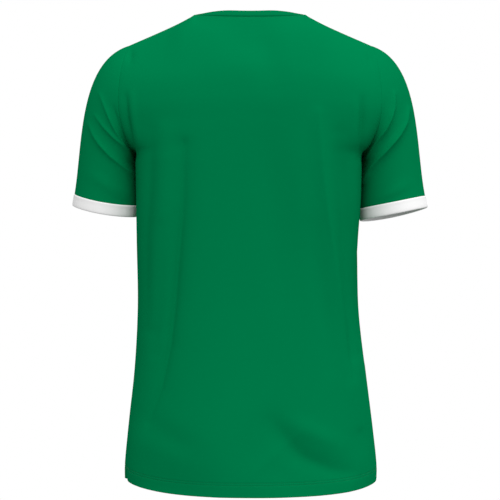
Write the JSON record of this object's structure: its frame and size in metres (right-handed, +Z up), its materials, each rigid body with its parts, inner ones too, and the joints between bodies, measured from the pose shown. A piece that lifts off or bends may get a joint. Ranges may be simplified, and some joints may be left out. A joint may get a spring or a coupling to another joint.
{
  "type": "football jersey",
  "caption": "Short-sleeved crew-neck football jersey, filled out as worn, with set-in sleeves, contrast cuffs and a turned-up hem.",
  "frame": {"origin": "midway between the two neck points of the shoulder seams, where the wearer's shoulders carry the jersey", "axes": "+Z up, the front of the jersey faces -Y and the back +Y, the wearer's left is +X"},
  "size_m": [0.5559, 0.254, 0.738],
  "materials": {
    "green_knit": "smooth fine polyester knit with a soft sheen",
    "green_band": "the same knit folded double and coverstitched",
    "white_knit": "smooth white polyester knit folded double"
  },
  "bodies": {
    "root": {"back_panel": "green_knit", "front_panel": "green_knit", "sleeve_left": "green_knit", "sleeve_right": "green_knit", "cuff_left": "white_knit", "cuff_right": "white_knit", "neck_band": "green_band"}
  },
  "joints": []
}
